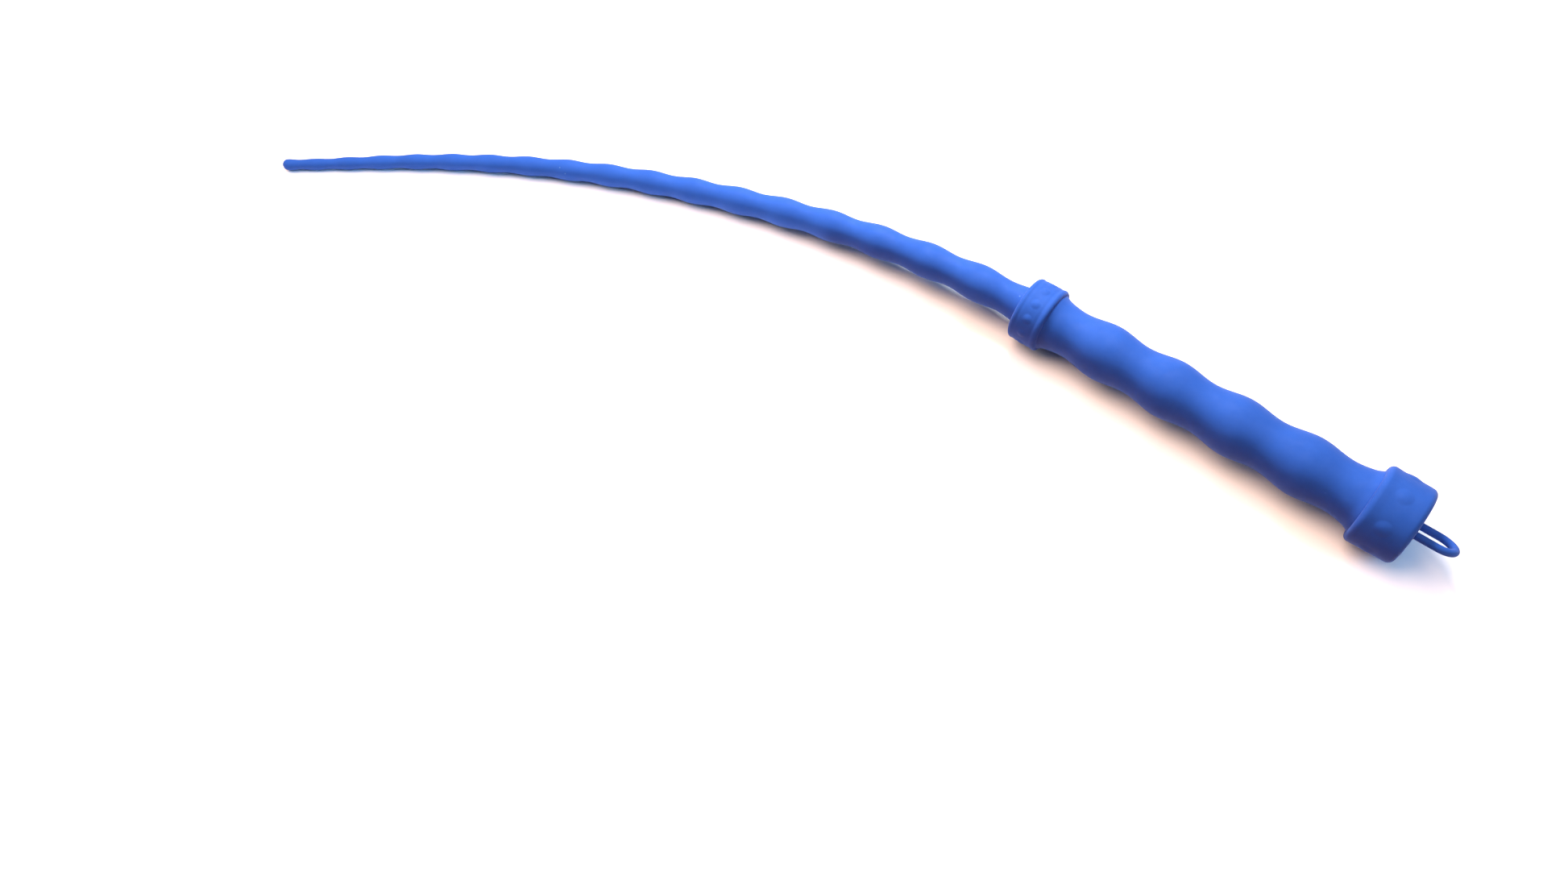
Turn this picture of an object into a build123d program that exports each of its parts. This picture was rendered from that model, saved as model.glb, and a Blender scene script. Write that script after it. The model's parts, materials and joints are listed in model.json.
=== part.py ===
"""Flexible silicone stick: rippled grip, studded collar and pommel, wavy tapering shaft and hang loop.

The stick lies at rest on the plane z = 0. +X runs along the grip towards the pommel, +Z is up, and the
shaft curves towards -Y. The root is the point just in front of the collar where the shaft starts to bend.
Places along the grip are measured from it towards the pommel, and places along the shaft are measured from
it towards the tip ("reach"), along the floor. Millimetres and degrees.

The shaft is one flexible moulding over one flexible rod. Here both are cut into short rigid links, hinged
at the narrow points of the wave. The hinges bend the shaft sideways and upwards by turns.
"""
from build123d import *
import math
import os

# Shaft: outline and wave
shaft_length = 400.9
tip_run = 16.75           # from the shaft's end to its first full swelling
first_pitch = 17.1        # between the first two swellings
pitch_growth = 0.724      # each pitch is this much longer than the last
swell_radius_tip = 2.92   # at the first full swelling, and of the tip's round end
swell_taper = 0.0195      # growth of the swellings' radius per millimetre, at the tip
taper_fade = 6e-6         # the taper eases off towards the collar
wave_depth = 0.072        # half the wave's height, as a share of the local radius

# Shaft: the curve it rests in
root_heading = 1.5        # the shaft leaves the collar at this angle to the grip
curve_turn = 38.7         # from there it turns this much further, in one even arc
curve_length = 349.0      # the arc's length. The rest, up to the tip, is straight
droop_length = 197.0      # from the root to where the shaft reaches the floor
path_step = 2.0           # the curve is added up in steps of about this length

# Shaft: flexing links
flex_swellings = [16, 15, 14, 13, 12, 11, 10, 9, 8, 6, 4, 2]   # each hinge is half a pitch after it
side_ratios = [1.0, 1.2, 1.4, 1.6, 1.8, 2.0]                   # sideways hinges, from collar to tip
lift_ratios = [1.0, 1.2, 1.4, 1.6, 1.8, 2.0]                   # upward hinges
drive_range = 6.0         # travel of the first hinge of each kind
link_gap = 0.3            # between two links, on the centreline
cut_margin = 0.5          # spare angle of each link's end

# Core rod and its ferrule
rod_radius = 1.5
rod_tip_margin = 14.0     # from the rod's end to the tip
rod_root = 38.0           # how far the rod runs into the handle
ferrule_radius = 5.0
ferrule_start = 8.0
ferrule_end = 40.0

# Front collar
collar_start = 1.5
collar_end = 16.9
collar_front_rim = 15.6   # radii of the two rims
collar_rear_rim = 15.9
collar_band = (15.5, 15.8)    # radii of the band between them, at its front and its rear
collar_front_width = 2.2
collar_rear_width = 2.4
collar_front_round = 1.9
collar_rear_round = 1.8
collar_wall = 3.6         # front wall, which the shaft comes out of
shaft_seat = 3.0          # how deep the shaft's root sits in that wall
collar_bore = 11.0
collar_studs = 12
collar_stud_phase = 25.0
collar_stud_radius = 2.2
collar_stud_height = 0.45

# Grip sleeve
grip_start = 5.1
grip_end = 176.0
grip_swell_start = 45.85  # first swelling
grip_pitch = 33.2
grip_mean_radius = 12.6   # at the first swelling
grip_taper = 0.0076
grip_wave = 1.0

# Handle tube
tube_outer_radius = 7.0
tube_inner_radius = 5.0
tube_start = 8.0
tube_end = 172.0

# Pommel
pommel_start = 174.0
pommel_end = 195.9
pommel_rim = 18.9
pommel_band = (18.75, 18.4)   # the band narrows towards the rounded end, which has no rim
pommel_rim_width = 3.4
pommel_rim_round = 2.6
pommel_end_round = 2.8
pommel_bore = 12.0
pommel_studs = 7
pommel_stud_phase = 46.5
pommel_stud_radius = 3.4
pommel_stud_height = 0.55
pommel_stud_place = 184.4

# Details that the collar and pommel share
stud_skirt = 0.2          # a stud's cap reaches this far past its foot, inside the band
bore_overlap = 0.5        # an end wall reaches this far into the ring round it
curve_points = 6          # points that a wavy outline has on each pitch

# End plug, loop pin and hang loop
plug_start = 158.0
plug_head_radius = 9.5
plug_head_length = 3.0
cheek_inner = 2.3         # half the gap between the clevis cheeks
cheek_thickness = 2.0
cheek_half_width = 2.6
cheek_end = 187.4
pin_radius = 1.5
pin_length = 11.0
loop_rod_radius = 1.75
loop_half_width = 7.7     # from the loop's middle to the middle of each leg
loop_stick_out = 19.3     # from the pommel's face to the loop's far edge
loop_roll = -35.0         # turn of the loop's flat about the grip's axis
loop_hinge_height = 1.0   # the loop's hinge axis stands this far off the pommel's face
loop_socket_radius = 2.35
tail_middle = 190.6       # centre of the buried half-ring
tail_in_socket = 0.45     # its ends rise this far into the sockets, which hollow them


def swelling_count(reach):
    """How many swellings lie between the first full one and this reach, as a smooth number."""
    distance = shaft_length - tip_run - reach
    base = first_pitch - pitch_growth / 2
    return (math.sqrt(base**2 + 2 * pitch_growth * distance) - base) / pitch_growth


def swelling_reach(count):
    distance = first_pitch * count + pitch_growth * count * (count - 1) / 2
    return shaft_length - tip_run - distance


def swell_line(reach):
    """Radius of the wave's crests."""
    distance = max(shaft_length - tip_run - reach, 0)
    return swell_radius_tip + swell_taper * distance - taper_fade * distance**2


def skin_radius(reach):
    wave = 1 - math.cos(2 * math.pi * swelling_count(reach))
    return swell_line(reach) * (1 - wave_depth * wave)


def grip_radius(place):
    mean = grip_mean_radius + grip_taper * (place - grip_swell_start)
    return mean + grip_wave * math.cos(2 * math.pi * (place - grip_swell_start) / grip_pitch)


# The grip rests on the collar's lowest stud and on the pommel's front rim
collar_middle = (collar_start + collar_end) / 2
stud_angles = [collar_stud_phase + 360 / collar_studs * i for i in range(collar_studs)]
from_lowest = math.radians(min(abs(angle - 270) for angle in stud_angles))
collar_rest_radius = (sum(collar_band) / 2 + collar_stud_height) * math.cos(from_lowest)
pommel_rest_place = pommel_start + pommel_rim_width / 2
grip_tilt = math.atan((pommel_rim - collar_rest_radius) / (pommel_rest_place - collar_middle))
root_height = collar_rest_radius * math.cos(grip_tilt) - collar_middle * math.sin(grip_tilt)


def heading(reach):
    return math.radians(root_heading + curve_turn * min(reach / curve_length, 1))


def axis_height(reach):
    """The shaft leaves the collar level, sags, and then lies on the floor."""
    share = min(reach / droop_length, 1)
    held_up = 1 - share * share * (3 - 2 * share)
    return swell_line(reach) + (root_height - swell_line(0)) * held_up


def shaft_point(reach):
    steps = max(1, round(reach / path_step))
    length = reach / steps
    x = -sum(length * math.cos(heading(length * (i + 0.5))) for i in range(steps))
    y = -sum(length * math.sin(heading(length * (i + 0.5))) for i in range(steps))
    return Vector(x, y, axis_height(reach))


grip_direction = Vector(math.cos(grip_tilt), 0, math.sin(grip_tilt))
root = Vector(0, 0, root_height)


def plane_along(origin, direction):
    """A plane whose X axis is the direction given and whose Z axis is as near upright as it can be."""
    upright = Vector(0, 0, 1) - direction * direction.Z
    return Plane(origin=origin, x_dir=direction, z_dir=upright)


handle = plane_along(root, grip_direction)
loop_frame = Plane(handle * Location((0, 0, 0), (loop_roll, 0, 0)))


def turned(points):
    """A solid of revolution about X from a closed outline of (place, radius) corners."""
    return revolve(make_face(Polyline(*points, close=True)), Axis.X)


def rod(radius, start, end):
    return turned([(start, 0), (start, radius), (end, radius), (end, 0)])


def tube(outer, inner, start, end):
    return turned([(start, inner), (start, outer), (end, outer), (end, inner)])


# Links of the shaft ---------------------------------------------------------
hinge_reaches = [swelling_reach(count + 0.5) for count in flex_swellings]
hinge_points = [shaft_point(reach) for reach in hinge_reaches]
link_ends = hinge_points[1:] + [shaft_point(shaft_length)]
link_directions = [(end - start).normalized() for start, end in zip(hinge_points, link_ends)]
hinge_is_sideways = [i % 2 == 0 for i in range(len(hinge_points))]
hinge_ratios = [
    (side_ratios if sideways else lift_ratios)[i // 2] for i, sideways in enumerate(hinge_is_sideways)
]


def level_across(direction):
    """The level direction at right angles to this one."""
    return Vector(direction.X, direction.Y, 0).normalized().cross(Vector(0, 0, 1))


hinge_axes = [
    Vector(0, 0, 1) if sideways else level_across(direction)
    for sideways, direction in zip(hinge_is_sideways, link_directions)
]


def end_slope(index):
    """Slope of the shallow cones that face each other at a hinge, so that two links never touch."""
    before = link_directions[index - 1] if index else (hinge_points[0] - root).normalized()
    rest_turn = before.get_angle(link_directions[index])
    travel = drive_range * hinge_ratios[index]
    return math.tan(math.radians((rest_turn + travel) / 2 + cut_margin))


def cut_back(index, radius):
    """How far a link's end stands back from its hinge at this radius."""
    return link_gap / 2 + radius * end_slope(index)


def wavy_edge(start, end, reach_start, reach_end):
    """The skin's outline between two places on a link, as one smooth curve."""
    pitches = abs(swelling_count(reach_end) - swelling_count(reach_start))
    count = max(curve_points, round(curve_points * pitches))
    points = []
    for i in range(count + 1):
        share = i / count
        reach = reach_start + (reach_end - reach_start) * share
        points.append((start + (end - start) * share, skin_radius(reach)))
    return Spline(*points)


def skin_link(index):
    """One hollow link of the skin, along +X from its hinge."""
    length = (link_ends[index] - hinge_points[index]).length
    reach = hinge_reaches[index]
    near_radius = skin_radius(reach)
    near = cut_back(index, near_radius)
    bore_near = cut_back(index, rod_radius)
    if index + 1 < len(hinge_points):
        far_radius = skin_radius(hinge_reaches[index + 1])
        far = length - cut_back(index + 1, far_radius)
        bore_far = length - cut_back(index + 1, rod_radius)
        outer = wavy_edge(near, far, reach + near, reach + far)
        far_side = Polyline(outer @ 1, (bore_far, rod_radius))
        bore = Polyline((bore_far, rod_radius), (bore_near, rod_radius))
        near_side = Polyline((bore_near, rod_radius), outer @ 0)
        return revolve(make_face(outer + far_side + bore + near_side), Axis.X)
    ball = length - swell_radius_tip
    wave_end = ball - 2 * swell_radius_tip
    outer = wavy_edge(near, wave_end, reach + near, reach + wave_end)
    neck = Spline(outer @ 1, (ball, swell_radius_tip), tangents=(outer % 1, (1, 0)))
    end_round = CenterArc((ball, 0), swell_radius_tip, 0, 90)
    rod_end = length - rod_tip_margin
    bore = Polyline((length, 0), (rod_end, 0), (rod_end, rod_radius), (bore_near, rod_radius), outer @ 0)
    return revolve(make_face(outer + neck + end_round + bore), Axis.X)


def core_link(index):
    length = (link_ends[index] - hinge_points[index]).length
    start = cut_back(index, rod_radius)
    if index + 1 < len(hinge_points):
        return rod(rod_radius, start, length - cut_back(index + 1, rod_radius))
    return rod(rod_radius, start, length - rod_tip_margin)


# The shaft's root, between the collar and the first hinge --------------------
root_direction = (root - hinge_points[0]).normalized()
root_plane = plane_along(hinge_points[0], root_direction)
root_length = (root - hinge_points[0]).length
skin_root_end = root_length + collar_start + shaft_seat


def skin_root():
    near_radius = skin_radius(hinge_reaches[0])
    near = cut_back(0, near_radius)
    bore_near = cut_back(0, rod_radius)
    outer = wavy_edge(near, root_length, hinge_reaches[0] - near, 0)
    inside = Polyline(
        outer @ 1,
        (skin_root_end, skin_radius(0)),
        (skin_root_end, rod_radius),
        (bore_near, rod_radius),
        outer @ 0,
    )
    return revolve(make_face(outer + inside), Axis.X)


def core_root():
    return rod(rod_radius, cut_back(0, rod_radius), root_length + rod_root)


# Handle ----------------------------------------------------------------------
def studs(count, phase, place, band_radius, foot_radius, height):
    """A ring of low domes: each is the cap of a ball sunk into the band."""
    ball_radius = (foot_radius**2 + height**2) / (2 * height)
    cap_depth = 2 * height
    cutter = Cylinder(foot_radius + stud_skirt, 2 * cap_depth).moved(Location((0, 0, ball_radius)))
    cap = Sphere(ball_radius) & cutter
    domes = []
    for i in range(count):
        angle = math.radians(phase + 360 / count * i)
        centre = band_radius + height - ball_radius
        seat = Vector(place, centre * math.cos(angle), centre * math.sin(angle))
        outward = Vector(0, math.cos(angle), math.sin(angle))
        domes.append(Plane(origin=seat, z_dir=outward) * cap)
    return domes


def banded_ring(front, band, rear, bore, seam):
    """A ring with a band between two rims.

    front and rear say where the ring ends, and the radius, width and rounding of the rim there. band gives
    the band's radius at its front and at its rear. A rear rim of that same radius has no step. The ring's
    seam is turned to the angle given, clear of the studs.
    """
    start, front_rim, front_width, front_round = front
    end, rear_rim, rear_width, rear_round = rear
    front_step = start + front_width
    rear_step = end - rear_width
    corners = [(start, bore), (start, front_rim), (front_step, front_rim)]
    corners += [(front_step + front_rim - band[0], band[0])]
    if rear_rim > band[1]:
        corners += [(rear_step - rear_rim + band[1], band[1]), (rear_step, rear_rim)]
    corners += [(end, rear_rim), (end, bore)]
    face = make_face(Polyline(*corners, close=True))
    edge_corners = face.vertices().filter_by_position(Axis.Y, min(band), math.inf).sort_by(Axis.X)
    rounded = fillet(edge_corners[0], front_round)
    edge_corners = rounded.vertices().filter_by_position(Axis.Y, min(band), math.inf).sort_by(Axis.X)
    return revolve(fillet(edge_corners[-1], rear_round), Axis.X).rotate(Axis.X, seam)


def front_collar(roots):
    body = banded_ring(
        (collar_start, collar_front_rim, collar_front_width, collar_front_round),
        collar_band,
        (collar_end, collar_rear_rim, collar_rear_width, collar_rear_round),
        collar_bore,
        collar_stud_phase + 180 / collar_studs,
    )
    body += rod(collar_bore + bore_overlap, collar_start, collar_start + collar_wall)
    foot, height = collar_stud_radius, collar_stud_height
    for dome in studs(collar_studs, collar_stud_phase, collar_middle, sum(collar_band) / 2, foot, height):
        body += dome
    body = handle * body
    for piece in roots:
        body -= piece
    return body


def grip_sleeve():
    first = collar_end
    last = pommel_start
    count = round(curve_points * (last - first) / grip_pitch)
    places = [first + (last - first) * i / count for i in range(count + 1)]
    outer = Spline(*[(place, grip_radius(place)) for place in places])
    ends = Polyline(
        outer @ 1,
        (last, pommel_bore),
        (grip_end, pommel_bore),
        (grip_end, tube_outer_radius),
        (grip_start, tube_outer_radius),
        (grip_start, collar_bore),
        (first, collar_bore),
        outer @ 0,
    )
    return handle * revolve(make_face(outer + ends), Axis.X)


def loop_path(middle, leg_end, first_angle):
    """Half a ring with two straight legs. Its arc starts at -90 in the outer half, and at 90 if buried."""
    arc = CenterArc((middle, 0), loop_half_width, first_angle, 180)
    near_leg = Line((leg_end, arc.start_point().Y), arc @ 0)
    far_leg = Line(arc @ 1, (leg_end, (arc @ 1).Y))
    return near_leg + arc + far_leg


def loop_half(path, leg_end):
    section = Plane(origin=(leg_end, (path @ 0).Y, 0), z_dir=path % 0) * Circle(loop_rod_radius)
    return sweep(section, path)


loop_hinge_place = pommel_end + loop_hinge_height
loop_middle = pommel_end + loop_stick_out - loop_rod_radius - loop_half_width
socket_depth = loop_socket_radius - loop_hinge_height


def hang_loop():
    body = loop_half(loop_path(loop_middle, loop_hinge_place, -90), loop_hinge_place)
    for side in (-1, 1):
        body += Sphere(loop_rod_radius).moved(Location((loop_hinge_place, side * loop_half_width, 0)))
    return loop_frame * body


def tail_bar():
    """The buried half-ring, before the sockets hollow its ends."""
    leg_end = pommel_end - socket_depth + tail_in_socket
    return loop_frame * loop_half(loop_path(tail_middle, leg_end, 90), leg_end)


def cut_sockets(body):
    """Take out the two round hollows that the loop's ball ends turn in."""
    for side in (-1, 1):
        leg = Location((loop_hinge_place, side * loop_half_width, 0))
        body -= loop_frame * Sphere(loop_socket_radius).moved(leg)
    return body


pin_place = tail_middle - loop_half_width + loop_rod_radius + pin_radius


def loop_pin():
    pin = Cylinder(pin_radius, pin_length)
    return loop_frame * pin.moved(Location((pin_place, 0, 0)))


def end_plug():
    """A plug for the tube's end, with a head that the pommel grips and two cheeks that hold the pin."""
    body = rod(tube_inner_radius, plug_start, tube_end) + rod(tube_outer_radius, tube_end, grip_end)
    body += rod(plug_head_radius, grip_end, grip_end + plug_head_length)
    cheek_start = grip_end + plug_head_length / 2
    cheek_length = cheek_end - cheek_start
    for side in (-1, 1):
        middle = side * (cheek_inner + cheek_thickness / 2)
        cheek = Box(cheek_length, 2 * cheek_half_width, cheek_thickness)
        body += cheek.moved(Location((cheek_start + cheek_length / 2, 0, middle)))
    body -= Cylinder(pin_radius, pin_length).moved(Location((pin_place, 0, 0)))
    return loop_frame * body


def pommel(buried):
    """The end cap closes over the grip's end and what lies behind it, with a socket for each loop leg."""
    body = banded_ring(
        (pommel_start, pommel_rim, pommel_rim_width, pommel_rim_round),
        pommel_band,
        (pommel_end, pommel_band[1], 0, pommel_end_round),
        pommel_bore,
        pommel_stud_phase + 180 / pommel_studs,
    )
    body += rod(pommel_bore + bore_overlap, grip_end, pommel_end)
    place, foot, height = pommel_stud_place, pommel_stud_radius, pommel_stud_height
    for dome in studs(pommel_studs, pommel_stud_phase, place, sum(pommel_band) / 2, foot, height):
        body += dome
    body = handle * body
    for piece in buried:
        body -= piece
    clevis_start = grip_end + plug_head_length
    clevis_gap = Box(cheek_end - clevis_start, 2 * cheek_half_width, 2 * cheek_inner)
    body -= loop_frame * clevis_gap.moved(Location(((clevis_start + cheek_end) / 2, 0, 0)))
    return cut_sockets(body)


parts = {}
parts["shaft_skin_root"] = root_plane * skin_root()
parts["core_rod_root"] = root_plane * core_root()
for index, (point, direction) in enumerate(zip(hinge_points, link_directions)):
    link_plane = plane_along(point, direction)
    parts[f"shaft_skin_{index + 1:02d}"] = link_plane * skin_link(index)
    parts[f"core_rod_{index + 1:02d}"] = link_plane * core_link(index)
parts["rod_ferrule"] = handle * rod(ferrule_radius, ferrule_start, ferrule_end) - parts["core_rod_root"]
parts["handle_tube"] = handle * tube(tube_outer_radius, tube_inner_radius, tube_start, tube_end)
parts["grip_sleeve"] = grip_sleeve()
parts["front_collar"] = front_collar([parts["shaft_skin_root"], parts["core_rod_root"]])
parts["loop_pin"] = loop_pin()
parts["loop_tail"] = cut_sockets(tail_bar())
parts["end_plug"] = end_plug()
parts["pommel"] = pommel([parts["end_plug"], parts["loop_pin"], tail_bar()])
parts["hang_loop"] = hang_loop()

# The origin is under the middle of the whole stick, on the floor
whole = Compound(children=[Compound(part.solids()) for part in parts.values()]).bounding_box()
to_origin = Location((-whole.center().X, -whole.center().Y, -whole.min.Z))
hinge_places = [point + to_origin.position for point in hinge_points]
loop_hinge_point = loop_frame.from_local_coords(Vector(loop_hinge_place, 0, 0)) + to_origin.position
loop_hinge_axis = loop_frame.y_dir

os.makedirs("parts", exist_ok=True)
for name, part in parts.items():
    export_step(part.moved(to_origin), f"parts/{name}.step")
print("stick measures", whole.size, "grip tilt", math.degrees(grip_tilt), "lowest point", whole.min.Z)
for place, axis, ratio in zip(hinge_places, hinge_axes, hinge_ratios):
    print("shaft hinge at", place, "axis", axis, "travel", drive_range * ratio)
print("loop hinge at", loop_hinge_point, "axis", loop_hinge_axis)
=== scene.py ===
"""Flexible silicone stick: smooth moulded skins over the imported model, on a pale floor.

Metres. Places along the grip are measured from the root, where the shaft starts to bend, towards the pommel,
and reaches along the shaft are measured from the root towards the tip.
"""
import json
import math

import bmesh
import bpy
from mathutils import Matrix, Vector


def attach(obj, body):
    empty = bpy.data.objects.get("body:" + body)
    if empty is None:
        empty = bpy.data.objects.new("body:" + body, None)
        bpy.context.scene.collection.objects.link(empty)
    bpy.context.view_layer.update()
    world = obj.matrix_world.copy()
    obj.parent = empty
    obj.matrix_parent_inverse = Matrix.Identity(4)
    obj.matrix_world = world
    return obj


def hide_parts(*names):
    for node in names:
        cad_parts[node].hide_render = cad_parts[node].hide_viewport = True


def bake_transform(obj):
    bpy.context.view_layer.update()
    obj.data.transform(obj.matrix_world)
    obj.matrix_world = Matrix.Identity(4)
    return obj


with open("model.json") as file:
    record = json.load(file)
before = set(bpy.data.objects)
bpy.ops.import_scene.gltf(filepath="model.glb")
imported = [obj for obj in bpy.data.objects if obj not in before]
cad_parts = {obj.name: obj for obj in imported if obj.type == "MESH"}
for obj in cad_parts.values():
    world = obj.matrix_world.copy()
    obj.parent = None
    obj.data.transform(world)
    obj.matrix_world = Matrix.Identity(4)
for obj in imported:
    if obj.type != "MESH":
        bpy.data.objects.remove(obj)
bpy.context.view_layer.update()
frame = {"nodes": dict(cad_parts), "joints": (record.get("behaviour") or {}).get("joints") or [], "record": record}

# Shaft: outline, wave and the curve it rests in
shaft_length = 0.4009
tip_run = 0.01675           # from the shaft's end to its first full swelling
first_pitch = 0.0171        # between the first two swellings
pitch_growth = 0.000724     # each pitch is this much longer than the last
swell_radius_tip = 0.00292
swell_taper = 0.0195        # growth of the swellings' radius per metre, at the tip
taper_fade = 0.006          # the taper eases off towards the collar
wave_depth = 0.072          # half the wave's height, as a share of the local radius
root_heading = math.radians(1.5)
curve_turn = math.radians(38.7)
curve_length = 0.349        # one even arc. The rest, up to the tip, is straight
droop_length = 0.197
path_step = 0.002           # the curve is added up in steps of about this length
direction_step = 0.0002     # the centreline's direction is taken over this distance each way
hinge_search_step = 0.0005  # how closely a hinge's reach is found
shaft_start = -0.005        # the shaft's skin starts this far behind the root, inside the collar
tip_pole_radius = swell_radius_tip / 40

# A rim has a radius, a width, a rounded edge's radius, the length of its slope into the band, and the depth
# of the groove beside it. A row of studs has their number, the first one's angle in degrees, their place
# along the grip, the radius of their feet, and their height.

# Collar
collar_start = 0.0015
collar_end = 0.0169
collar_band = (0.0155, 0.0158)   # radii of the band between the rims, at the collar's front and rear
collar_front = {"rim": 0.0156, "width": 0.0022, "rounding": 0.0019, "slope": 0.0016, "groove": 0.00012}
collar_rear = {"rim": 0.0159, "width": 0.0026, "rounding": 0.0018, "slope": 0.0016, "groove": 0.00015}
collar_bore = 0.0075
collar_studs = {"count": 12, "phase": 25.0, "place": 0.0092, "foot": 0.0026, "height": 0.00045}

# Grip
grip_start = 0.015          # both of its ends are out of sight
grip_end = 0.176
grip_swell_start = 0.04585
grip_pitch = 0.0332
grip_mean_radius = 0.0126
grip_taper = 0.0076
grip_wave = 0.001
grip_flare = 0.0010         # soft roots against the collar and the pommel
grip_flare_length = 0.004

# Pommel
pommel_start = 0.174
pommel_end = 0.1959
pommel_band = (0.01875, 0.0184)
pommel_front = {"rim": 0.0189, "width": 0.0040, "rounding": 0.0026, "slope": 0.0040, "groove": 0}
pommel_rear = {"rim": 0.0184, "width": 0.0030, "rounding": 0.0028, "slope": 0.0016, "groove": 0}
pommel_bore = 0.011
pommel_studs = {"count": 7, "phase": 46.5, "place": 0.1844, "foot": 0.0041, "height": 0.00055}

# Loop
loop_rod = 0.00175
loop_half_width = 0.0077
loop_stick_out = 0.0193
loop_hinge_height = 0.001
loop_root_depth = 0.004     # how far each leg runs into the pommel

# Fineness of the meshes
shaft_ring_step = 0.0008
tip_rings = 12              # over the shaft's round end
grip_ring_step = 0.0008
band_ring_step = 0.0004
loop_ring_step = 0.0004
face_rings = 12             # on the pommel's end face
corner_steps = 10           # round each rim's edge
seam_strip = 0.00005        # a thin strip beside each cut keeps the shading even across it
shaft_segments = 72
grip_segments = 144
ring_segments = 288
loop_segments = 40

# Stage and camera
floor_half_width = 4.0
floor_drop = 0.00002        # keeps the floor just clear of the stick's lowest points
backdrop_radius = 12.0
card_left = -0.10           # the card's edges and height, measured from the root
card_right = 0.28
card_near = -0.26
card_far = -0.025
card_height = 0.001
sensor_width_mm = 36.0
focal_length_mm = 27.749
nearest_seen = 0.01
camera_stand = Vector((0.13115, -0.35598, 0.47096))   # from the floor below the root
camera_spin = math.radians(37.471)
camera_dip = math.radians(58.137)                     # below the horizon
camera_roll = math.radians(1.0475)

joints = {joint["name"]: joint for joint in frame["joints"]}


# The handle's frame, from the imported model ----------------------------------
grip_direction = Vector(frame["record"]["mounts"][0]["axis"]).normalized()
loop_hinge = Vector(joints["loop_swing"]["pos_m"])
loop_across = Vector(joints["loop_swing"]["axis"]).normalized()
root = loop_hinge - grip_direction * (pommel_end + loop_hinge_height)
grip_across = Vector((0, 1, 0))
grip_up = grip_direction.cross(grip_across)


def on_handle(place, radius, angle):
    """A point at a place along the grip, a radius, and an angle from +Y towards +Z."""
    outward = grip_across * math.cos(angle) + grip_up * math.sin(angle)
    return root + grip_direction * place + outward * radius


# Shaft: its centreline and radius ---------------------------------------------
def swelling_count(reach):
    """How many swellings lie between the first full one and this reach, as a smooth number."""
    distance = shaft_length - tip_run - reach
    base = first_pitch - pitch_growth / 2
    return (math.sqrt(base**2 + 2 * pitch_growth * distance) - base) / pitch_growth


def swell_line(reach):
    distance = max(shaft_length - tip_run - reach, 0)
    return swell_radius_tip + swell_taper * distance - taper_fade * distance**2


def wave_radius(reach):
    return swell_line(reach) * (1 - wave_depth * (1 - math.cos(2 * math.pi * swelling_count(reach))))


def smooth(share):
    share = min(max(share, 0), 1)
    return share * share * (3 - 2 * share)


def shaft_radius(reach):
    """The wave, then a short neck into the round end."""
    ball_start = shaft_length - swell_radius_tip
    if reach >= ball_start:
        return math.sqrt(max(swell_radius_tip**2 - (reach - ball_start) ** 2, 0))
    neck = smooth((reach - ball_start) / (2 * swell_radius_tip) + 1)
    return wave_radius(reach) * (1 - neck) + swell_radius_tip * neck


def heading(reach):
    return root_heading + curve_turn * min(reach / curve_length, 1)


def axis_height(reach):
    """The shaft leaves the collar level, sags, and then lies on the floor."""
    held_up = 1 - smooth(reach / droop_length)
    return swell_line(reach) + (root.z - swell_line(0)) * held_up


def shaft_point(reach):
    steps = max(1, round(abs(reach) / path_step))
    length = reach / steps
    x = -sum(length * math.cos(heading(length * (i + 0.5))) for i in range(steps))
    y = -sum(length * math.sin(heading(length * (i + 0.5))) for i in range(steps))
    return Vector((root.x + x, root.y + y, axis_height(reach)))


def shaft_ring(reach):
    """A circle of points square to the centreline."""
    along = (shaft_point(reach + direction_step) - shaft_point(reach - direction_step)).normalized()
    side = along.cross(Vector((0, 0, 1))).normalized()
    up = side.cross(along)
    centre, radius = shaft_point(reach), max(shaft_radius(reach), tip_pole_radius)
    angles = [2 * math.pi * i / shaft_segments for i in range(shaft_segments)]
    return [centre + (side * math.cos(a) + up * math.sin(a)) * radius for a in angles]


# Mesh building ------------------------------------------------------------------
def loft(name, rings, capped=True):
    """One closed skin over rings of points. Its ends get caps, or else the last ring joins the first."""
    mesh = bmesh.new()
    loops = [[mesh.verts.new(point) for point in ring] for ring in rings]
    pairs = list(zip(loops, loops[1:]))
    if not capped:
        pairs.append((loops[-1], loops[0]))
    for near, far in pairs:
        for i in range(len(near)):
            j = (i + 1) % len(near)
            mesh.faces.new((near[i], near[j], far[j], far[i])).smooth = True
    if capped:
        for loop in (loops[0], loops[-1]):
            for edge in mesh.faces.new(loop).edges:
                edge.smooth = False
    bmesh.ops.recalc_face_normals(mesh, faces=mesh.faces)
    data = bpy.data.meshes.new(name)
    mesh.to_mesh(data)
    mesh.free()
    piece = bpy.data.objects.new(name, data)
    bpy.context.scene.collection.objects.link(piece)
    return piece


def even_steps(start, end, step):
    count = max(1, math.ceil((end - start) / step))
    return [start + (end - start) * i / count for i in range(count + 1)]


def corner(middle_place, middle_radius, rounding, from_degrees, to_degrees):
    """Points of (place, radius) on a quarter round of a profile."""
    shares = [i / corner_steps for i in range(corner_steps + 1)]
    turns = [math.radians(from_degrees + (to_degrees - from_degrees) * share) for share in shares]
    return [(middle_place + rounding * math.cos(t), middle_radius + rounding * math.sin(t)) for t in turns]


def stud_height(place, angle, radius, studs):
    """How far the row of domes stands out of the band here. Each dome runs softly into the band."""
    pitch = 2 * math.pi / studs["count"]
    off = (angle - math.radians(studs["phase"]) + pitch / 2) % pitch - pitch / 2
    share = ((off * radius) ** 2 + (place - studs["place"]) ** 2) / studs["foot"] ** 2
    return studs["height"] * (1 - share) ** 1.5 if share < 1 else 0


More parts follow.
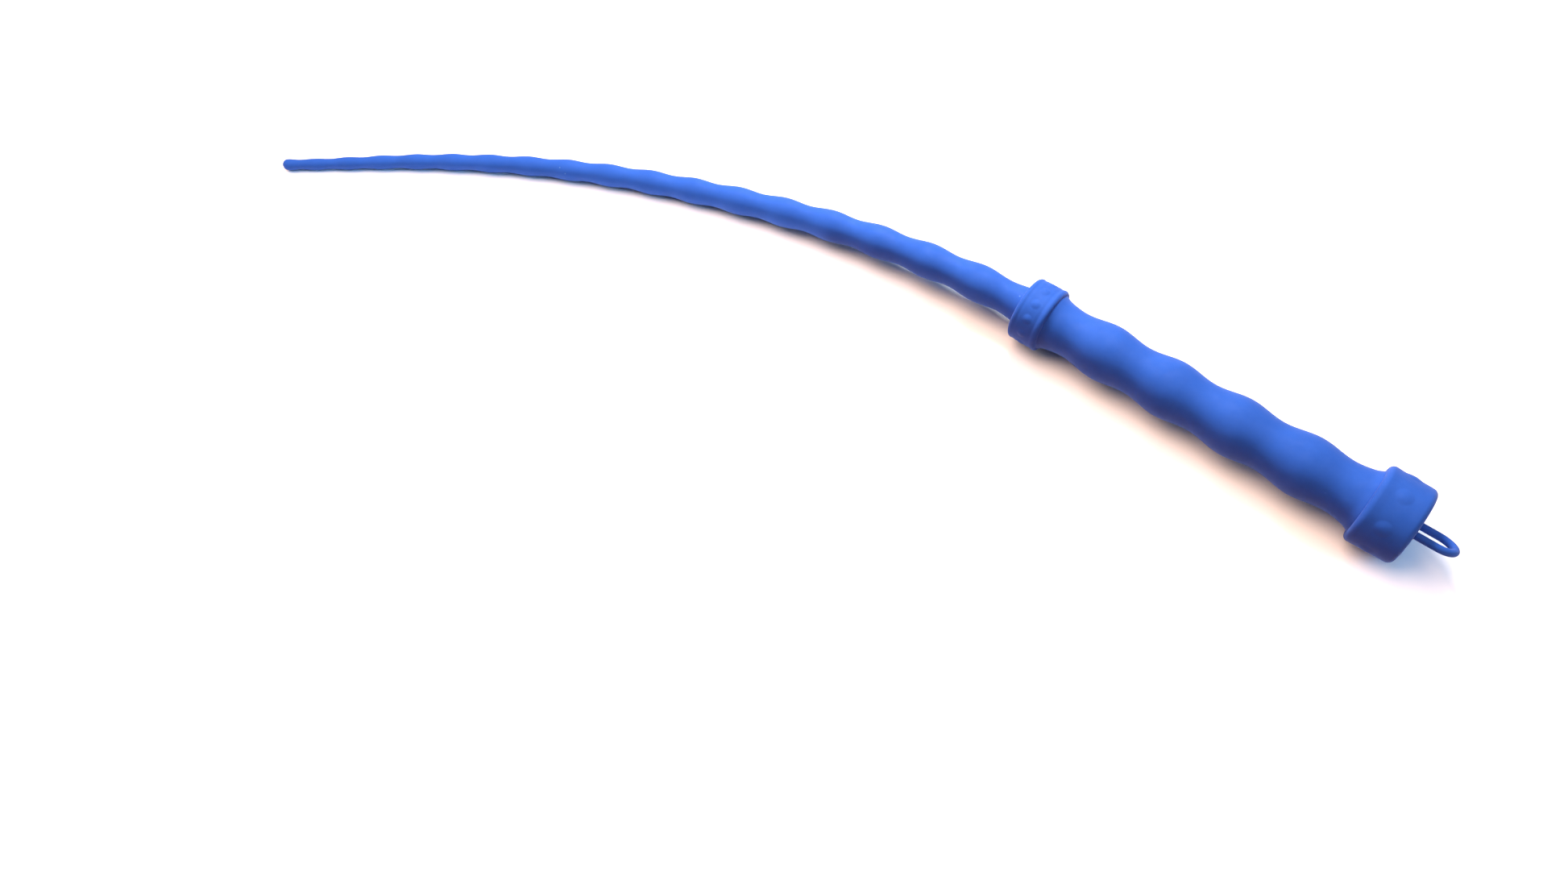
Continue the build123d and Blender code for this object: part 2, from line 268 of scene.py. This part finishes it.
def groove_depth(rim, off_middle):
    """A soft groove that fades out within about one slope's length each way."""
    return rim["groove"] * math.exp(-(off_middle**2) * 4)


def banded_profile(start, end, band, front, rear):
    """The outside of a ring: a round-edged rim at each end, a soft groove beside each, and a band between."""

    def radius(place):
        along_band = band[0] + (band[1] - band[0]) * (place - start) / (end - start)
        from_front = (place - start - front["width"]) / front["slope"]
        from_rear = (place - end + rear["width"]) / rear["slope"]
        near = front["rim"] + (along_band - front["rim"]) * smooth(from_front + 0.5)
        whole = near + (rear["rim"] - near) * smooth(from_rear + 0.5)
        return whole - (groove_depth(front, from_front - 0.5) + groove_depth(rear, from_rear + 0.5))

    first, last = start + front["rounding"], end - rear["rounding"]
    front_corner = corner(first, front["rim"] - front["rounding"], front["rounding"], 180, 90)
    rear_corner = corner(last, rear["rim"] - rear["rounding"], rear["rounding"], 90, 0)
    middle = [(place, radius(place)) for place in even_steps(first, last, band_ring_step)]
    return front_corner + middle[1:-1] + rear_corner


def turned(name, profile, segments, studs=None, capped=True):
    """A profile of (place, radius) turned round the grip's axis, with any studs, on the handle's body."""
    rings = []
    for place, radius in profile:
        ring = []
        for i in range(segments):
            angle = 2 * math.pi * i / segments
            proud = stud_height(place, angle, radius, studs) if studs else 0
            ring.append(on_handle(place, radius + proud, angle))
        rings.append(ring)
    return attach(loft(name, rings, capped), "handle")


# Shaft skin ----------------------------------------------------------------------
shaft_joints = [joint for joint in frame["joints"] if joint["name"].startswith("shaft")]


def reach_of(point):
    """The reach at which the centreline passes nearest to a point."""
    reaches = even_steps(0, shaft_length, hinge_search_step)
    return min(reaches, key=lambda reach: (shaft_point(reach) - point).length)


def tip_reaches(start):
    """Rings of the last piece: even ones, then closer and closer ones over the round end."""
    ball = shaft_length - swell_radius_tip
    turns = [math.pi / 2 * i / tip_rings for i in range(1, tip_rings + 1)]
    round_end = [ball + swell_radius_tip * math.sin(turn) for turn in turns]
    return [start] + even_steps(start + seam_strip, ball, shaft_ring_step) + round_end


def shaft_pieces():
    """One piece round each hinge, cut where the links stay straight, and one for the tip.

    The pieces round the hinges are fixed where they stand, and the tip's piece rides on the last link.
    """
    hinges = [reach_of(Vector(joint["pos_m"])) for joint in shaft_joints]
    cuts = [shaft_start] + [(near + far) / 2 for near, far in zip(hinges, hinges[1:])]
    cuts += [2 * hinges[-1] - cuts[-1], shaft_length]
    pieces = []
    for index, (start, end) in enumerate(zip(cuts, cuts[1:])):
        reaches = [start] + even_steps(start + seam_strip, end - seam_strip, shaft_ring_step) + [end]
        if end == shaft_length:
            reaches = tip_reaches(start)
        piece = loft(f"shaft_moulding_{index + 1:02d}", [shaft_ring(reach) for reach in reaches])
        if index < len(hinges):
            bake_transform(piece)
        else:
            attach(piece, shaft_joints[-1]["child"])
        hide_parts(f"shaft_skin_{index:02d}" if index else "shaft_skin_root")
        pieces.append(piece)
    return pieces


# Handle ----------------------------------------------------------------------------
def collar():
    outside = banded_profile(collar_start, collar_end, collar_band, collar_front, collar_rear)
    profile = [(collar_start, collar_bore)] + outside + [(collar_end, collar_bore)]
    piece = turned("collar_moulding", profile, ring_segments, collar_studs, capped=False)
    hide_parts("front_collar")
    return piece


def grip_radius(place):
    mean = grip_mean_radius + grip_taper * (place - grip_swell_start)
    wave = grip_wave * math.cos(2 * math.pi * (place - grip_swell_start) / grip_pitch)
    from_end = max(min(place - collar_end, pommel_start - place), 0)
    flare = grip_flare * max(1 - from_end / grip_flare_length, 0) ** 2
    return mean + wave + flare


def grip():
    places = even_steps(grip_start, grip_end, grip_ring_step)
    piece = turned("grip_moulding", [(place, grip_radius(place)) for place in places], grip_segments)
    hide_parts("grip_sleeve")
    return piece


def pommel():
    outside = banded_profile(pommel_start, pommel_end, pommel_band, pommel_front, pommel_rear)
    face_radius = pommel_rear["rim"] - pommel_rear["rounding"]
    face = [(pommel_end, face_radius * (1 - i / face_rings)) for i in range(1, face_rings)]
    profile = [(pommel_start, pommel_bore)] + outside + face
    piece = turned("pommel_moulding", profile, ring_segments, pommel_studs)
    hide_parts("pommel")
    return piece


def loop():
    """A round rod bent to a U, with both legs rooted in the pommel."""
    middle = pommel_end + loop_stick_out - loop_rod - loop_half_width
    leg_start = pommel_end - loop_root_depth
    legs = even_steps(leg_start, middle, loop_ring_step)
    path = [(place, -loop_half_width, 0.0) for place in legs[:-1]]
    turns = even_steps(-math.pi / 2, math.pi / 2, loop_ring_step / loop_half_width)
    for t in turns:
        path.append((middle + loop_half_width * math.cos(t), loop_half_width * math.sin(t), t + math.pi / 2))
    path += [(place, loop_half_width, math.pi) for place in legs[-2::-1]]
    thickness = grip_direction.cross(loop_across)
    rings = []
    for place, side, turn in path:
        centre = root + grip_direction * place + loop_across * side
        outward = grip_direction * math.sin(turn) - loop_across * math.cos(turn)
        angles = [2 * math.pi * i / loop_segments for i in range(loop_segments)]
        rings.append([centre + (outward * math.cos(a) + thickness * math.sin(a)) * loop_rod for a in angles])
    piece = loft("loop_moulding", rings)
    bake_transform(piece)
    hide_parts("hang_loop")
    return piece


# Materials ---------------------------------------------------------------------------
class Nodes:
    """Short calls for building one material's nodes."""

    def __init__(self, name):
        self.material = bpy.data.materials.new(name)
        self.material.use_nodes = True
        self.tree = self.material.node_tree
        self.shader = self.tree.nodes["Principled BSDF"]
        self.place = self.add("ShaderNodeTexCoord").outputs["Object"]

    def add(self, kind, **inputs):
        node = self.tree.nodes.new(kind)
        for name, value in inputs.items():
            self.set(node.inputs[name.replace("_", " ")], value)
        return node

    def set(self, socket, value):
        if isinstance(value, bpy.types.NodeSocket):
            self.tree.links.new(value, socket)
        else:
            socket.default_value = value

    def noise(self, scale, detail=3.0, roughness=0.5, place=None):
        node = self.add("ShaderNodeTexNoise", Scale=scale, Detail=detail, Roughness=roughness)
        self.set(node.inputs["Vector"], place or self.place)
        return node.outputs["Fac"]

    def stretched(self, scale):
        """Object coordinates, scaled along each axis."""
        node = self.add("ShaderNodeMapping", Scale=scale)
        self.set(node.inputs["Vector"], self.place)
        return node.outputs["Vector"]

    def ramp(self, value, low, high, to_low=0.0, to_high=1.0):
        node = self.add("ShaderNodeMapRange", From_Min=low, From_Max=high, To_Min=to_low, To_Max=to_high)
        self.set(node.inputs["Value"], value)
        return node.outputs["Result"]

    def mix(self, share, first, second):
        node = self.add("ShaderNodeMix")
        node.data_type = "RGBA"
        self.set(node.inputs[0], share)
        self.set(node.inputs[6], first)
        self.set(node.inputs[7], second)
        return node.outputs[2]

    def bump(self, height, strength, distance, below=None):
        node = self.add("ShaderNodeBump", Strength=strength, Distance=distance, Height=height)
        if below:
            self.set(node.inputs["Normal"], below)
        return node.outputs["Normal"]

    def finish(self, **sockets):
        for name, value in sockets.items():
            self.set(self.shader.inputs[name.replace("_", " ")], value)
        return self.material


def silicone():
    """Matte soft-touch silicone: faint mottling, a fine moulded grain, and a few specks of dust."""
    nodes = Nodes("blue_silicone")
    mottle = nodes.ramp(nodes.noise(90, 4), 0.35, 0.65)
    body = nodes.mix(mottle, (0.017, 0.092, 0.445, 1), (0.021, 0.104, 0.490, 1))
    specks = nodes.add("ShaderNodeTexVoronoi", Scale=170.0)
    nodes.set(specks.inputs["Vector"], nodes.place)
    rare = nodes.ramp(nodes.noise(60, 0), 0.66, 0.70)
    dot = nodes.ramp(specks.outputs["Distance"], 0.05, 0.075, 1.0, 0.0)
    dust = nodes.add("ShaderNodeMath")
    dust.operation = "MULTIPLY"
    nodes.set(dust.inputs[0], rare)
    nodes.set(dust.inputs[1], dot)
    colour = nodes.mix(dust.outputs[0], body, (0.09, 0.20, 0.55, 1))
    rough = nodes.ramp(nodes.noise(220, 3), 0.3, 0.7, 0.70, 0.82)
    waviness = nodes.bump(nodes.noise(120, 2), 0.25, 0.0004)
    grain = nodes.bump(nodes.noise(2600, 4, 0.7), 0.35, 0.00006, waviness)
    return nodes.finish(
        Base_Color=colour,
        Roughness=rough,
        Normal=grain,
        Specular_IOR_Level=0.30,
        Sheen_Weight=0.08,
        Sheen_Roughness=0.5,
    )


def fibreglass():
    """Pultruded rod: fine fibres along its length under a pale resin."""
    nodes = Nodes("fibreglass")
    fibres = nodes.noise(400, 4, 0.6, nodes.stretched((0.2, 1.0, 1.0)))
    colour = nodes.mix(fibres, (0.62, 0.58, 0.38, 1), (0.86, 0.84, 0.70, 1))
    return nodes.finish(Base_Color=colour, Roughness=0.38, Normal=nodes.bump(fibres, 0.3, 0.00005))


def metal(name, dark, light, roughness, grain_scale, stretch):
    """Bare metal with fine drawn or turned marks."""
    nodes = Nodes(name)
    marks = nodes.noise(grain_scale, 4, 0.65, nodes.stretched(stretch))
    return nodes.finish(
        Base_Color=nodes.mix(marks, dark, light),
        Metallic=1.0,
        Roughness=nodes.ramp(marks, 0.3, 0.7, roughness - 0.06, roughness + 0.06),
        Normal=nodes.bump(marks, 0.2, 0.00003),
    )


def nylon():
    nodes = Nodes("natural_nylon")
    cloud = nodes.noise(250, 3)
    colour = nodes.mix(cloud, (0.78, 0.76, 0.70, 1), (0.88, 0.87, 0.83, 1))
    grain = nodes.bump(nodes.noise(1800, 3), 0.2, 0.00004)
    return nodes.finish(Base_Color=colour, Roughness=0.45, Normal=grain)


def floor_paper():
    nodes = Nodes("floor_paper")
    colour = nodes.mix(nodes.noise(6, 3), (0.455, 0.455, 0.455, 1), (0.47, 0.47, 0.47, 1))
    grain = nodes.bump(nodes.noise(900, 3), 0.1, 0.0001)
    return nodes.finish(Base_Color=colour, Roughness=0.9, Normal=grain)


def paint(pieces, material):
    for piece in pieces:
        piece.data.materials.clear()
        piece.data.materials.append(material)


# Build ----------------------------------------------------------------------------------
blue = silicone()
paint(shaft_pieces() + [collar(), grip(), pommel(), loop()], blue)
cad_nodes = frame["nodes"]
paint([cad_nodes["loop_tail"]], blue)
paint([node for name, node in cad_nodes.items() if name.startswith("core_rod")], fibreglass())
aluminium = metal("drawn_aluminium", (0.62, 0.63, 0.65, 1), (0.80, 0.81, 0.82, 1), 0.34, 900, (0.05, 1, 1))
brass = metal("turned_brass", (0.62, 0.42, 0.15, 1), (0.84, 0.64, 0.30, 1), 0.30, 900, (1, 0.05, 0.05))
steel = metal("ground_steel", (0.45, 0.46, 0.48, 1), (0.66, 0.67, 0.69, 1), 0.28, 1200, (0.1, 1, 1))
paint([cad_nodes["handle_tube"]], aluminium)
paint([cad_nodes["rod_ferrule"]], brass)
paint([cad_nodes["loop_pin"]], steel)
paint([cad_nodes["end_plug"]], nylon())


# Stage -------------------------------------------------------------------------------------
def flat_sheet(name, left, right, near, far, height):
    """A level rectangle. Left and right are in X, near and far in Y."""
    corners = [(left, near, height), (right, near, height), (right, far, height), (left, far, height)]
    data = bpy.data.meshes.new(name)
    data.from_pydata(corners, [], [(0, 1, 2, 3)])
    piece = bpy.data.objects.new(name, data)
    bpy.context.scene.collection.objects.link(piece)
    return piece


def floor():
    half = floor_half_width
    piece = flat_sheet("floor", -half, half, -half, half, -floor_drop)
    paint([piece], floor_paper())
    return piece


def soft_light(name, towards, spread, strength, colour):
    """A far softbox in the direction given, as wide as its spread in degrees. Its strength is the brightness
    of white paper that faces it."""
    lamp = bpy.data.lights.new(name, "SUN")
    lamp.angle = math.radians(spread)
    lamp.energy = math.pi * strength
    lamp.color = colour
    lamp.cycles.use_multiple_importance_sampling = False
    light = bpy.data.objects.new(name, lamp)
    light.rotation_euler = Vector(towards).to_track_quat("Z", "Y").to_euler()
    bpy.context.scene.collection.objects.link(light)
    return light


def backdrop():
    """A white dome that only the camera sees."""
    mesh = bmesh.new()
    bmesh.ops.create_icosphere(mesh, subdivisions=4, radius=backdrop_radius)
    data = bpy.data.meshes.new("backdrop")
    mesh.to_mesh(data)
    mesh.free()
    piece = bpy.data.objects.new("backdrop", data)
    bpy.context.scene.collection.objects.link(piece)
    for ray in ("diffuse", "glossy", "transmission", "volume_scatter", "shadow"):
        setattr(piece, f"visible_{ray}", False)
    nodes = Nodes("backdrop_white")
    nodes.finish(Base_Color=(0, 0, 0, 1), Emission_Color=(1, 1, 1, 1), Emission_Strength=1.0)
    paint([piece], nodes.material)


def near_light(name, place, aim, size, watts, colour):
    """A softbox close by, out of the camera's sight."""
    lamp = bpy.data.lights.new(name, "AREA")
    lamp.shape = "DISK"
    lamp.size = size
    lamp.energy = watts
    lamp.color = colour
    light = bpy.data.objects.new(name, lamp)
    light.location = place
    light.rotation_euler = (Vector(aim) - Vector(place)).to_track_quat("-Z", "Y").to_euler()
    light.visible_camera = False
    bpy.context.scene.collection.objects.link(light)


def bounce_card():
    """A red card on the floor before the grip. It only takes up and sends back light."""
    left, right = root.x + card_left, root.x + card_right
    near, far = root.y + card_near, root.y + card_far
    piece = flat_sheet("bounce_card", left, right, near, far, card_height)
    piece.visible_camera = False
    piece.visible_shadow = False
    nodes = Nodes("card_red")
    nodes.finish(Base_Color=(0.50, 0.02, 0.015, 1), Roughness=0.9)
    paint([piece], nodes.material)


def camera():
    """The camera stands before the grip and looks down across it, towards the shaft."""
    data = bpy.data.cameras.new("camera")
    data.sensor_width = sensor_width_mm
    data.lens = focal_length_mm
    data.clip_start = nearest_seen
    lens = bpy.data.objects.new("camera", data)
    place = Matrix.Translation(Vector((root.x, root.y, 0)) + camera_stand)
    spin = Matrix.Rotation(camera_spin, 4, "Z")
    tilt = Matrix.Rotation(math.pi / 2 - camera_dip, 4, "X")
    roll = Matrix.Rotation(camera_roll, 4, "Z")
    lens.matrix_world = place @ spin @ tilt @ roll
    bpy.context.scene.collection.objects.link(lens)
    bpy.context.scene.camera = lens


def sky(colour, strength):
    world = bpy.data.worlds.new("sky")
    world.use_nodes = True
    world.node_tree.nodes["Background"].inputs["Color"].default_value = colour
    world.node_tree.nodes["Background"].inputs["Strength"].default_value = strength
    bpy.context.scene.world = world


paper = floor()
backdrop()
camera()
bounce_card()
sky((1.0, 1.0, 1.0, 1), 0.05)
soft_light("overhead", towards=(0.0, 0.10, 1.0), spread=50, strength=0.52, colour=(1.0, 0.90, 0.85))
soft_light("warm_fill", towards=(-0.30, -1.0, 0.9), spread=60, strength=0.04, colour=(1.0, 0.78, 0.66))
soft_light("cool_fill", towards=(1.0, -0.2, 0.6), spread=60, strength=0.05, colour=(0.60, 0.76, 1.0))
near_light(
    "key", place=(-0.14, 0.285, 0.46), aim=(0.06, 0.08, 0), size=0.16, watts=4.85, colour=(0.97, 0.99, 1.0)
)
near_light(
    "tip_fill", place=(-0.75, -0.55, 0.45), aim=(-0.22, 0, 0), size=0.35, watts=3.5, colour=(0.90, 0.95, 1.0)
)

# Two washes light only the floor, which turns white round the stick, with warm and blue shadows on it.
wash_takers = bpy.data.collections.new("wash_takers")
wash_takers.objects.link(paper)
washes = [
    soft_light("warm_wash", towards=(-0.70, -0.25, 1.0), spread=50, strength=2.7, colour=(1.0, 0.68, 0.52)),
    soft_light("cool_wash", towards=(0.90, 0.30, 0.60), spread=40, strength=1.6, colour=(0.26, 0.55, 1.0)),
]
for wash in washes:
    wash.light_linking.receiver_collection = wash_takers
bpy.context.scene.view_settings.view_transform = "Standard"
